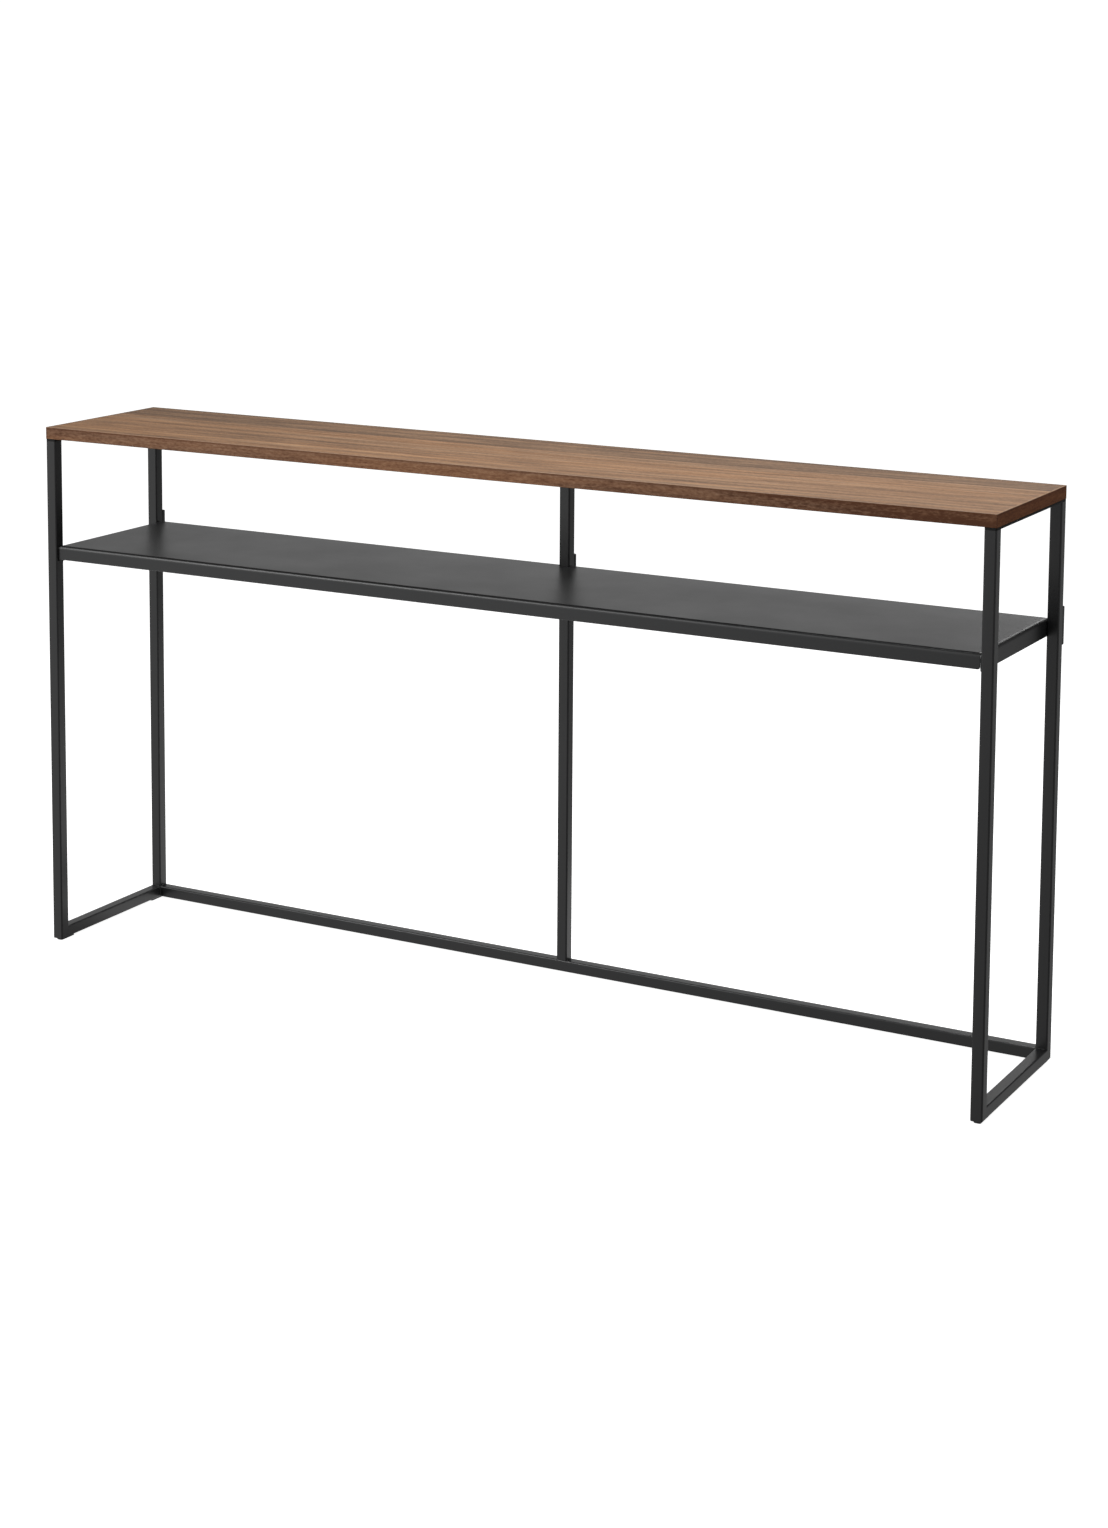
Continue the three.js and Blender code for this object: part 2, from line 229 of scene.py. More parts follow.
# Painted shade on a long band: it is lightest here, where the most light falls on it, and darkens between
# these two distances from here as the light falls off.
BAND_BEST_LIT = -0.20
FALLOFF_START = 0.20
FALLOFF_END = 0.88
# A band's painted shade line just under its top, and its painted top edge: how far down each one starts
# and is full.
CREST_SHADE_LINE = (3.4 * MM, 2.2 * MM)
CREST_TOP = (1.0 * MM, 0.4 * MM)
CREST_SHADE_STRENGTH = 0.45


def wood(name, dark, middle, light, roughness, along="X", gloss=0.2, fleck_size=1.0, gains=FACE_GAINS,
         face=False, painted_falloff=0.0, painted_crest=None):
    """Walnut-effect decor along one axis: tone bands, long straight streaks, short flecks and pores,
    and a slow drift between a cool and a warm brown. face adds what the board's top shows at its edges,
    among them painted shade along its back and left rims and a painted highlight along its right rim.
    painted_falloff is painted shade that darkens a band towards its ends, and painted_crest is a band's
    top edge as (colour, strength), with a painted shade line under it."""
    g = MaterialGraph(name)
    x, y, z = g.axes(g.place())
    if along == "Y":
        x, y = y, x
    wander = centred(g, g.noise(g.vector(x, 0.0, 0.0), scale=2.2, detail=1.0), GRAIN_WANDER)
    sweep = g.remap(x, 0.0, SWEEP_LENGTH, 0.0, GRAIN_SWEEP, smooth=True)
    across = g.math("SUBTRACT", g.math("ADD", y, wander), sweep)
    grain = g.vector(x, across, z)
    layers = {}
    for layer, (stretch, shift, detail, rough, distortion) in WOOD_LAYERS.items():
        size = fleck_size if layer == "fleck" else 1.0
        place = g.stretch(grain, tuple(size * s for s in stretch), shift)
        layers[layer] = g.noise(place, 1.0, detail, rough, distortion)
    # From 0 for the darkest wood to 1 for the lightest.
    level = 0.5
    for layer, gain in zip(SHOWN_LAYERS, gains):
        level = g.math("ADD", level, centred(g, layers[layer], gain))
    cool = g.remap(layers["hue"], *COOL_RANGE)
    if face:
        edge = g.math("ADD", across, centred(g, layers["line"], SEAM_WAVER))
        plank = g.remap(edge, PLANK_START, PLANK_END, smooth=True)
        cool = g.math("ADD", cool, g.math("MULTIPLY", plank, PLANK_COOLER))
        level = g.math("SUBTRACT", level, g.math("MULTIPLY", plank, PLANK_DARKER))
        from_seam = g.math("ABSOLUTE", g.math("SUBTRACT", edge, SEAM_MIDDLE))
        level = g.math("ADD", level, g.remap(from_seam, 0.0, SEAM_HALF, SEAM_PALER, 0.0))
        # Painted shade along the top's back and left edges, and a painted highlight along its right edge.
        level = with_painted_rims(g, level, x, y)
    # Painted shade: a long band darkens towards its ends, where less light falls on it.
    if painted_falloff:
        away = g.math("ABSOLUTE", g.math("SUBTRACT", x, BAND_BEST_LIT))
        level = g.math("SUBTRACT", level, g.remap(away, FALLOFF_START, FALLOFF_END, 0.0, painted_falloff, smooth=True))
    stops = [(0.15, dark), (0.5, middle), (0.85, light)]
    warm = g.ramp(level, stops)
    grey = g.ramp(level, [(at, cooler(colour)) for at, colour in stops])
    colour = g.mix(g.math("MINIMUM", cool, 1.0), warm, grey)
    pores = g.remap(layers["pore"], *PORE_RANGE)
    colour = g.mix(g.math("MULTIPLY", pores, PORE_DARKER), colour, dark)
    # A painted shade line under the band's top, and a painted highlight or painted shade on the top edge,
    # as each band is given.
    if painted_crest:
        colour = with_painted_crest(g, colour, z, dark, *painted_crest)
    relief = g.math("SUBTRACT", layers["fine"], g.math("MULTIPLY", pores, PORE_DEEPER))
    normal = g.bump(relief, 0.03 * MM, 0.4)
    rough = g.math("ADD", roughness, centred(g, layers["line"], 0.12))
    return g.finish(colour, rough, normal, Specular_IOR_Level=gloss)


def with_painted_rims(g, level, x, y):
    """Painted shade along the top's back and left edges, which darkens them, and a painted highlight along
    its right edge, which makes it paler.
    """

    def rim(place, edge, inward, shape, smooth):
        start, full, strength = shape
        return g.remap(place, edge + inward * start, edge + inward * full, 0.0, strength, smooth)

    back = rim(y, DECOR_HIGH.y, -1, BACK_RIM_SHADE, True)
    left = rim(x, DECOR_LOW.x, 1, LEFT_RIM_SHADE, True)
    right = rim(x, DECOR_HIGH.x, -1, RIGHT_RIM_HIGHLIGHT, False)
    return g.math("ADD", g.math("SUBTRACT", level, g.math("MAXIMUM", back, left)), right)


def with_painted_crest(g, colour, z, dark, painted_edge_colour, strength):
    """Painted shade in a line near a band's top, and a painted colour on its rounded top edge: a painted
    highlight on the front and right bands, painted shade on the back and left bands.
    """
    line_start, line_full = (DECOR_HIGH.z - down for down in CREST_SHADE_LINE)
    top_start, top_full = (DECOR_HIGH.z - down for down in CREST_TOP)
    line = g.remap(z, line_start, line_full, 0.0, CREST_SHADE_STRENGTH)
    top = g.remap(z, top_start, top_full, 0.0, strength)
    return g.mix(top, g.mix(line, colour, dark), painted_edge_colour)


def cooler(colour):
    """The same brown with less red and more blue."""
    red, green, blue = colour
    return (red * 0.86, green * 0.98, blue * 1.16)


# ---- other materials ------------------------------------------------------------------------------
PEEL_SCALE = 900.0
WAVE_SCALE = PEEL_SCALE / 7
SPECK_SCALE = PEEL_SCALE * 2.3
CLOUD_SCALE = 9.0


def powder_coat(name, colour, roughness, gloss=0.5):
    """Satin black powder coat: fine orange peel over a slow waviness, with faint changes of gloss."""
    g = MaterialGraph(name)
    place = g.place()
    peel = g.noise(place, scale=PEEL_SCALE, detail=2.0, roughness=0.55)
    wave = g.noise(place, scale=WAVE_SCALE, detail=1.0)
    cloud = g.noise(place, scale=CLOUD_SCALE, detail=3.0, roughness=0.6)
    speck = g.noise(place, scale=SPECK_SCALE, detail=1.0)
    tone = g.math("ADD", centred(g, cloud, 0.3), centred(g, speck, 0.25))
    darker, lighter = (tuple(c * factor for c in colour) for factor in (0.78, 1.25))
    shade = g.mix(g.math("ADD", 0.5, tone), darker, lighter)
    normal = g.bump(wave, 0.05 * MM, 0.35)
    normal = g.bump(peel, 0.02 * MM, 0.32, normal)
    rough = g.math("ADD", roughness, g.math("ADD", centred(g, cloud, 0.10), centred(g, peel, 0.10)))
    return g.finish(shade, rough, normal, Specular_IOR_Level=gloss)


def chipboard(name):
    """Raw chipboard: pale pressed flakes with darker gaps."""
    g = MaterialGraph(name)
    place = g.place()
    cells = g.node("ShaderNodeTexVoronoi", feature="F1")
    g.feed(cells.inputs["Vector"], g.stretch(place, (420, 420, 900)))
    flake = cells.outputs["Distance"]
    blend = g.math("ADD", g.math("MULTIPLY", flake, 0.7), g.noise(place, scale=160, detail=3.0))
    stops = [(0.45, (0.22, 0.13, 0.06)), (0.75, (0.45, 0.30, 0.16)), (1.0, (0.60, 0.44, 0.26))]
    colour = g.ramp(blend, stops)
    return g.finish(colour, 0.9, g.bump(blend, 0.2 * MM, 0.6))


def moulded_plastic(name):
    """Matte black moulded plastic with a fine spark-eroded texture."""
    g = MaterialGraph(name)
    place = g.place()
    grit = g.noise(place, scale=2600, detail=2.0)
    cloud = g.noise(place, scale=60, detail=2.0)
    colour = g.mix(cloud, (0.008, 0.008, 0.008), (0.018, 0.018, 0.018))
    rough = g.math("ADD", 0.55, centred(g, grit, 0.2))
    return g.finish(colour, rough, g.bump(grit, 0.03 * MM, 0.5))


def black_zinc(name):
    """Black zinc plate on a screw: dark metal with a cloudy gloss."""
    g = MaterialGraph(name)
    place = g.place()
    cloud = g.noise(place, scale=320, detail=3.0)
    colour = g.mix(cloud, (0.07, 0.07, 0.075), (0.16, 0.16, 0.165))
    rough = g.remap(cloud, 0.3, 0.7, 0.28, 0.5)
    return g.finish(colour, rough, g.bump(cloud, 0.02 * MM, 0.5), Metallic=1.0)


def backdrop_paint(name, paint, glow):
    """A plain white backdrop that glows enough to read as white paper."""
    g = MaterialGraph(name)
    cloud = g.noise(g.place(), scale=0.8, detail=3.0)
    colour = g.mix(cloud, (paint, paint, paint), (paint + 0.02, paint + 0.02, paint + 0.02))
    g.shader.inputs["Emission Color"].default_value = (1, 1, 1, 1)
    return g.finish(colour, 0.9, Specular_IOR_Level=0.0, Emission_Strength=glow)


# ---- the table's materials ------------------------------------------------------------------------
DECOR = wood("walnut_decor", (0.100, 0.050, 0.024), (0.220, 0.113, 0.053), (0.335, 0.185, 0.092), 0.62,
             face=True)
# The long bands' darkest colour is redder, so that their painted shade towards the ends turns redder too.
LONG_BAND = {
    "dark": (0.107, 0.035, 0.012), "middle": (0.279, 0.134, 0.067), "light": (0.437, 0.246, 0.138),
    "roughness": 0.64, "fleck_size": 3.4, "gains": BAND_GAINS, "painted_falloff": 0.34,
}
# Painted shade: the end bands are a darker, redder copy of the long bands' colours, for the less light
# that falls on the ends.
END_BAND_IN_SHADE = {
    "dark": (0.105, 0.035, 0.013), "middle": (0.215, 0.076, 0.029), "light": (0.335, 0.135, 0.056),
    "roughness": 0.66, "fleck_size": 3.0, "gains": BAND_GAINS, "along": "Y", "gloss": 0.12,
}
# Painted colours for the bands' rounded top edges: a painted highlight where light catches them, and
# painted shade where it does not.
PAINTED_EDGE_HIGHLIGHT = (0.60, 0.46, 0.34)
PAINTED_EDGE_SHADE = (0.040, 0.022, 0.012)
BANDS = {
    "front_edge_band": wood("walnut_front_band", painted_crest=(PAINTED_EDGE_HIGHLIGHT, 0.25), **LONG_BAND),
    "back_edge_band": wood("walnut_back_band", painted_crest=(PAINTED_EDGE_SHADE, 0.85), **LONG_BAND),
    "left_edge_band": wood("walnut_left_band", painted_crest=(PAINTED_EDGE_SHADE, 0.85), **END_BAND_IN_SHADE),
    "right_edge_band": wood("walnut_right_band", painted_crest=(PAINTED_EDGE_HIGHLIGHT, 0.35), **END_BAND_IN_SHADE),
}
BACKING = wood("walnut_backing", (0.055, 0.030, 0.018), (0.090, 0.050, 0.030), (0.125, 0.072, 0.044), 0.6)
CORE = chipboard("chipboard")
TUBE_COAT = powder_coat("powder_coat_tube", (0.012, 0.0122, 0.0128), 0.31)
# Painted shade: the top bars get a darker, less glossy copy of the tube's coat, for the shade under the
# board's edge.
BAR_COAT_SHADED = powder_coat("powder_coat_bar_shaded", (0.008, 0.0081, 0.0084), 0.6, gloss=0.2)
SHEET_COAT = powder_coat("powder_coat_sheet", (0.014, 0.0143, 0.0150), 0.38)
PLASTIC = moulded_plastic("moulded_plastic")
ZINC = black_zinc("black_zinc")
FLOOR = backdrop_paint("studio_floor", 0.60, 0.95)
DOME = backdrop_paint("studio_dome", 0.10, 1.0)


# ---- mesh helpers ---------------------------------------------------------------------------------
def new_object(name, vertices, faces, material):
    """A smooth-shaded object from vertices and faces, with its sharper edges kept sharp."""
    mesh = bpy.data.meshes.new(name)
    mesh.from_pydata([tuple(v) for v in vertices], [], faces)
    mesh.materials.append(material)
    obj = bpy.data.objects.new(name, mesh)
    bpy.context.scene.collection.objects.link(obj)
    mesh.shade_smooth()
    mesh.set_sharp_from_angle(angle=SHARP_ANGLE)
    return obj


def piece(name, vertices, faces, material, stands_for=None, even=True):
    """One piece of the table. even keeps the shading of large flat faces flat."""
    obj = new_object(f"{name}_piece", vertices, faces, material)
    if even:
        normals = obj.modifiers.new("even_normals", "WEIGHTED_NORMAL")
        normals.keep_sharp = True
    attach(obj, BODY)
    if stands_for:
        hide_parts(stands_for)
    return obj


def loft(rings):
    """Vertices and faces of a closed skin through equal rings, with a cap on each end."""
    count = len(rings[0])
    vertices = [v for ring in rings for v in ring]
    faces = [tuple(reversed(range(count)))]
    for i in range(len(rings) - 1):
        for j in range(count):
            k = (j + 1) % count
            a, b = i * count, (i + 1) * count
            faces.append((a + j, a + k, b + k, b + j))
    last = (len(rings) - 1) * count
    faces.append(tuple(range(last, last + count)))
    return vertices, faces


def rounded_ring(width, depth, corner):
    """Points round a rectangle with rounded corners, anticlockwise, centred on the origin."""
    corner = max(corner, TINY)
    points = []
    for quarter, (sx, sy) in enumerate(((1, 1), (-1, 1), (-1, -1), (1, -1))):
        cx, cy = sx * (width / 2 - corner), sy * (depth / 2 - corner)
        for i in range(CORNER_STEPS + 1):
            angle = QUARTER_TURN * (quarter + i / CORNER_STEPS)
            points.append((cx + corner * math.cos(angle), cy + corner * math.sin(angle)))
    return points


def edge_profile(edge):
    """(inset, height) pairs up a rounded edge, from the face to the side."""
    pairs = []
    for i in range(EDGE_STEPS + 1):
        angle = QUARTER_TURN * i / EDGE_STEPS
        pairs.append((edge * (1 - math.sin(angle)), edge * (1 - math.cos(angle))))
    return pairs


def axis_frame(axis):
    """Two directions across an axis, right-handed with it, and the axis itself."""
    return {
        "X": (Vector((0, 1, 0)), Vector((0, 0, 1)), Vector((1, 0, 0))),
        "Y": (Vector((0, 0, 1)), Vector((1, 0, 0)), Vector((0, 1, 0))),
        "Z": (Vector((1, 0, 0)), Vector((0, 1, 0)), Vector((0, 0, 1))),
    }[axis]


def measured(low, high, axis):
    """The middle of a box, the directions of axis_frame() and the box's size along each of them."""
    low, high = Vector(low), Vector(high)
    directions = axis_frame(axis)
    return (low + high) / 2, directions, [abs((high - low).dot(d)) for d in directions]


def rounded_block(low, high, axis, corner, edge):
    """A block between two corners: its section across the axis has rounded corners, and both end
    faces have rounded edges."""
    centre, (across, up, along), (width, depth, length) = measured(low, high, axis)
    rounding = edge_profile(edge)
    stations = rounding + [(inset, length - height) for inset, height in reversed(rounding)]
    rings = []
    for inset, height in stations:
        ring = rounded_ring(width - 2 * inset, depth - 2 * inset, corner - inset)
        base = centre + along * (height - length / 2)
        rings.append([base + across * a + up * b for a, b in ring])
    return loft(rings)


def box_union(*nodes):
    """The box round several CAD nodes."""
    boxes = [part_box(n) for n in nodes]
    low = Vector(min(b[0][i] for b in boxes) for i in range(3))
    high = Vector(max(b[1][i] for b in boxes) for i in range(3))
    return low, high


# ---- frame of square tube ---------------------------------------------------------------------------
BAR_EDGE = 0.4 * MM
PLATE_EDGE = 0.5 * MM
REAR_PLATE_CORNER = 1.5 * MM
TOP_PLATE_CORNER = 3.0 * MM


def square_tube(name, low, high, axis, mitres=(0, 0), lean=0):
    """A square tube between two corners. mitres say how far each end climbs along the tube for each
    unit along its section's first (lean 0) or second (lean 1) direction."""
    centre, (across, up, along), (width, depth, length) = measured(low, high, axis)
    ring = rounded_ring(width, depth, TUBE_CORNER)
    reach = (width, depth)[lean] / 2
    ends = []
    for end, slope in zip((-1, 1), mitres):
        face = []
        for point in ring:
            height = end * (length / 2 - abs(slope) * reach) + slope * point[lean]
            face.append(centre + across * point[0] + up * point[1] + along * height)
        ends.append(face)
    vertices, faces = loft(ends)
    piece(name, vertices, faces, TUBE_COAT, name)


def flat_piece(name, axis, corner, edge, coat):
    """A flat bar or plate in its CAD node's place."""
    vertices, faces = rounded_block(*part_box(name), axis, corner, edge)
    piece(name, vertices, faces, coat, name)


def make_side_frame(side):
    """Two legs mitred into a bottom rail, and the flat bar across their tops."""
    low, high = box_union(f"{side}_bottom_rail", f"{side}_front_leg", f"{side}_back_leg")
    for end, slope in (("front", 1), ("back", -1)):
        leg_low, leg_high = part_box(f"{side}_{end}_leg")
        foot = (leg_low.x, leg_low.y, low.z)
        square_tube(f"{side}_{end}_leg", foot, leg_high, "Z", (slope, 0), lean=1)
    tube = high.x - low.x
    square_tube(f"{side}_bottom_rail", low, (high.x, high.y, low.z + tube), "Y", (1, -1), lean=0)
    flat_piece(f"{side}_top_bar", "Z", TUBE_CORNER, BAR_EDGE, BAR_COAT_SHADED)


for side in ("left", "right"):
    make_side_frame(side)
square_tube("back_bottom_rail", *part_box("back_bottom_rail"), "X")
square_tube("centre_post", *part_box("centre_post"), "Z")
for place in ("left", "centre", "right"):
    flat_piece(f"{place}_rear_plate", "Y", REAR_PLATE_CORNER, PLATE_EDGE, TUBE_COAT)
flat_piece("centre_post_top_plate", "Z", TOP_PLATE_CORNER, PLATE_EDGE, TUBE_COAT)


# ---- weld beads -------------------------------------------------------------------------------------
WELD_SIZE = 1.6 * MM
POST_WELD_SIZE = 1.2 * MM
WELD_ROOT = 0.3 * MM
WELD_STEP = 0.35 * MM
WELD_RIPPLE = 1.7 * MM
WELD_ARC_STEPS = 6


def weld_bead(name, start, end, out_a, out_b, size=WELD_SIZE):
    """A rippled fillet along an inside corner. out_a and out_b point away from its two faces."""
    start, end, out_a, out_b = Vector(start), Vector(end), Vector(out_a), Vector(out_b)
    length = (end - start).length
    steps = max(8, int(length / WELD_STEP))
    rings = []
    for i in range(steps + 1):
        t = i / steps
        taper = min(1.0, 6 * t + 0.35, 6 * (1 - t) + 0.35)
        wave = 1 + 0.10 * math.cos(2 * math.pi * t * length / WELD_RIPPLE) + random.uniform(-0.03, 0.03)
        reach = size * taper * wave
        place = start.lerp(end, t)
        ring = [place - WELD_ROOT * (out_a + out_b)]
        for k in range(WELD_ARC_STEPS + 1):
            angle = QUARTER_TURN * k / WELD_ARC_STEPS
            crown = reach * (0.80 + 0.12 * math.sin(2 * angle))
            ring.append(place + out_a * (crown * math.cos(angle)) + out_b * (crown * math.sin(angle)))
        rings.append(ring)
    vertices, faces = loft(rings)
    piece(name, vertices, faces, TUBE_COAT)


def make_welds():
    """Beads where the back rail meets the back legs, in the side frames' corners and at the post."""
    rail_low, rail_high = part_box("back_bottom_rail")
    post_low, post_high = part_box("centre_post")
    top, front = rail_high.z, rail_low.y
    for side, sign in (("left", -1), ("right", 1)):
        leg_low, leg_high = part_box(f"{side}_back_leg")
        inner = leg_high.x if sign < 0 else leg_low.x
        away = Vector((-sign, 0, 0))
        weld_bead(f"{side}_rail_weld_top", (inner, front + TUBE_CORNER, top),
                  (inner, rail_high.y - TUBE_CORNER, top), away, (0, 0, 1))
        weld_bead(f"{side}_rail_weld_front", (inner, front, rail_low.z + TUBE_CORNER),
                  (inner, front, top - TUBE_CORNER), away, (0, -1, 0))
        for end, face, out in (("back", leg_low.y, -1), ("front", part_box(f"{side}_front_leg")[1].y, 1)):
            weld_bead(f"{side}_{end}_leg_weld", (leg_low.x + TUBE_CORNER, face, top),
                      (leg_high.x - TUBE_CORNER, face, top), (0, out, 0), (0, 0, 1))
    for side, face, sign in (("left", post_low.x, -1), ("right", post_high.x, 1)):
        weld_bead(f"post_weld_{side}", (face, post_low.y + TUBE_CORNER, top),
                  (face, post_high.y - TUBE_CORNER, top), (sign, 0, 0), (0, 0, 1), POST_WELD_SIZE)


make_welds()


# ---- shelf ------------------------------------------------------------------------------------------
SHEET = 1.5 * MM
BEND = 5.0 * MM
BEND_STEPS = 10
LONG_FLANGE = 20.0 * MM
NOTCH_GAP = 0.75 * MM
NOTCH_STRIP = 1.2 * MM
TAB_HALF = 6.0 * MM
TAB_DEPTH = 17.0 * MM
TAB_BEND = 1.6 * MM
TAB_STEPS = 6
TAB_CUT = 1.5 * MM
TAB_CUT_HEIGHT = 2.0 * MM
# A narrow strip of mesh beside each bend, so that the flat parts shade flat.
SUPPORT = 0.5 * MM
CORNER_GAP = 0.5 * MM
CORNER_ROUND = 3.0 * MM
ROUND_STEPS = 5
DEBURR = 0.5 * MM
DEBURR_STEPS = 3
DEBURR_ANGLE = math.radians(50)


def fold_stations(half, flange, stops):
    """Stations across the sheet from one bottom edge to the other, each as (across, down, angle):
    flange, bend, flat with its stops, bend and flange. angle is how far the sheet has turned down."""
    side = [(half - BEND - SUPPORT, 0.0, 0.0)]
    for i in range(BEND_STEPS + 1):
        angle = QUARTER_TURN * i / BEND_STEPS
        side.append((half - BEND + BEND * math.sin(angle), BEND - BEND * math.cos(angle), angle))
    side += [(half, down, QUARTER_TURN) for down in (BEND + SUPPORT, flange / 2)]
    for i in range(ROUND_STEPS + 1):
        rise = CORNER_ROUND * (1 - math.sin(QUARTER_TURN * i / ROUND_STEPS))
        side.append((half, flange - rise, QUARTER_TURN))
    mirrored = [(-across, down, -angle) for across, down, angle in reversed(side)]
    return mirrored + [(stop, 0.0, 0.0) for stop in stops] + side


def rounded_off(down, flange):
    """How far a flange's end draws in at a distance down the flange, for its round lower corner."""
    level = (down - flange) / CORNER_ROUND + 1
    if level <= 0:
        return 0.0
    return CORNER_ROUND * (1 - math.sqrt(max(0.0, 1 - level * level)))


def make_shelf():
    """The folded sheet: a flat with four turned-down flanges, a notch for the post, and a tab folded
    down at the notch's front. Nothing is made where two bends would meet. There the ends of the
    flanges reach out until they close the corner."""
    low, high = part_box("shelf_tray")
    post_low, post_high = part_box("centre_post")
    half_x, half_y = (high.x - low.x) / 2, (high.y - low.y) / 2
    centre_y = (high.y + low.y) / 2
    end_flange = high.z - low.z
    notch_x = (post_high.x - post_low.x) / 2 + NOTCH_GAP
    notch_y = post_low.y - NOTCH_GAP - centre_y
    stops_x = [-notch_x - NOTCH_STRIP, -notch_x, -TAB_HALF, TAB_HALF, notch_x, notch_x + NOTCH_STRIP]
    stops_y = [notch_y - NOTCH_STRIP, notch_y]
    xs = fold_stations(half_x, end_flange, stops_x)
    ys = fold_stations(half_y, LONG_FLANGE, stops_y)
    vertices, index, faces = [], {}, []

    def point(i, j, depth):
        """A point of the folded sheet, depth below its outer face."""
        (x, down_x, turn_x), (y, down_y, turn_y) = xs[i], ys[j]
        x -= depth * math.sin(turn_x)
        y -= depth * math.sin(turn_y)
        down = down_x + down_y + depth * min(math.cos(turn_x), math.cos(turn_y))
        if down_y > 0 and abs(turn_x) < TINY and abs(x) > half_x - BEND - TINY:
            # The long flanges reach almost to the end flanges.
            reach = (BEND - SHEET - CORNER_GAP) * abs(math.sin(turn_y))
            x += math.copysign(reach - rounded_off(down_y, LONG_FLANGE), x)
        if down_x > 0 and abs(turn_y) < TINY and abs(y) > half_y - BEND - TINY:
            # The end flanges reach the planes of the long flanges.
            reach = BEND * abs(math.sin(turn_x))
            y += math.copysign(reach - rounded_off(down_x, end_flange), y)
        return x, centre_y + y, high.z - down

    def vertex(i, j, side):
        """The number of a grid point's vertex on the outer (0) or inner (1) side."""
        if (i, j, side) not in index:
            index[i, j, side] = len(vertices)
            vertices.append(point(i, j, side * SHEET))
        return index[i, j, side]

    def kept(i, j):
        """Whether the sheet is there between stations i and i + 1, and j and j + 1."""
        if not (0 <= i < len(xs) - 1 and 0 <= j < len(ys) - 1):
            return False
        folded_x = xs[i][1] + xs[i + 1][1] > 0
        folded_y = ys[j][1] + ys[j + 1][1] > 0
        middle_x = (xs[i][0] + xs[i + 1][0]) / 2
        middle_y = (ys[j][0] + ys[j + 1][0]) / 2
        in_notch = abs(middle_x) < notch_x and middle_y > notch_y
        return not ((folded_x and folded_y) or in_notch)

    for i in range(len(xs) - 1):
        for j in range(len(ys) - 1):
            if not kept(i, j):
                continue
            ring = [(i, j), (i + 1, j), (i + 1, j + 1), (i, j + 1)]
            faces.append([vertex(*corner, 0) for corner in ring])
            faces.append([vertex(*corner, 1) for corner in reversed(ring)])
            beyond = [(i, j - 1), (i + 1, j), (i, j + 1), (i - 1, j)]
            for k in range(4):
                if not kept(*beyond[k]):
                    a, b = ring[k], ring[(k + 1) % 4]
                    faces.append([vertex(*a, 0), vertex(*a, 1), vertex(*b, 1), vertex(*b, 0)])
    obj = piece("shelf_tray", vertices, faces, SHEET_COAT, "shelf_tray", even=False)
    bevel = obj.modifiers.new("deburred_edges", "BEVEL")
    bevel.width = DEBURR
    bevel.segments = DEBURR_STEPS
    bevel.limit_method = "ANGLE"
    bevel.angle_limit = DEBURR_ANGLE
    bevel.harden_normals = True
    make_tab(high.z, centre_y + notch_y)


def make_tab(top, front):
    """The tab folded down in front of the post, narrowed at its lower end."""
    path = []
    for i in range(TAB_STEPS + 1):
        angle = QUARTER_TURN * i / TAB_STEPS
        y = front - TAB_BEND + TAB_BEND * math.sin(angle)
        z = top - TAB_BEND + TAB_BEND * math.cos(angle)
        path.append((y, z, angle, TAB_HALF))
    path.append((front, top - TAB_DEPTH + TAB_CUT_HEIGHT, QUARTER_TURN, TAB_HALF))
    path.append((front, top - TAB_DEPTH, QUARTER_TURN, TAB_HALF - TAB_CUT))
    rings = []
    for y, z, angle, half in path:
        inner_y, inner_z = y - SHEET * math.sin(angle), z - SHEET * math.cos(angle)
        rings.append([(-half, y, z), (half, y, z), (half, inner_y, inner_z), (-half, inner_y, inner_z)])
    vertices, faces = loft(rings)
    piece("shelf_tab", vertices, faces, SHEET_COAT)


make_shelf()


# ---- tabletop ---------------------------------------------------------------------------------------
BAND_ROUND = 0.8 * MM
BAND_END_ROUND = 0.6 * MM
BAND_STEPS = 6


def edge_band(name, material):
    """A strip on edge, flush with the board's faces. Its two long outer edges are rounded over, and so
    are the upright outer edges of the long bands."""
    low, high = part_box(name)
    size, centre = high - low, (low + high) / 2
    is_long = size.x > size.y
    if is_long:
        length, thick, tall = size.x, size.y, size.z
        out = Vector((0, math.copysign(1, centre.y), 0))
        rounding = edge_profile(BAND_END_ROUND)
    else:
        length, thick, tall = size.y, size.x, size.z
        out = Vector((math.copysign(1, centre.x), 0, 0))
        rounding = [(0.0, 0.0)]
    along = Vector((0, 0, 1)).cross(out)
    arc_out, arc_up = thick / 2 - BAND_ROUND, tall / 2 - BAND_ROUND
    profile = [(-thick / 2, -tall / 2)]
    for first_angle, height in ((-QUARTER_TURN, -arc_up), (0.0, arc_up)):
        for i in range(BAND_STEPS + 1):
            angle = first_angle + QUARTER_TURN * i / BAND_STEPS
            profile.append((arc_out + BAND_ROUND * math.cos(angle), height + BAND_ROUND * math.sin(angle)))
    profile.append((-thick / 2, tall / 2))
    stations = rounding + [(inset, length - distance) for inset, distance in reversed(rounding)]
    rings = []
    for inset, distance in stations:
        base = centre + along * (distance - length / 2)
        limit = thick / 2 - inset
        rings.append([base + out * min(o, limit) + Vector((0, 0, h)) for o, h in profile])
    vertices, faces = loft(rings)
    piece(name, vertices, faces, material, name)


for name, material in BANDS.items():
    edge_band(name, material)
for node, material in (("tabletop_decor", DECOR), ("tabletop_core", CORE), ("tabletop_backing", BACKING)):
    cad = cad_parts[node]
    cad.data.materials.clear()
    cad.data.materials.append(material)


# ---- glides -----------------------------------------------------------------------------------------
GLIDE_CORNER = 3.0 * MM
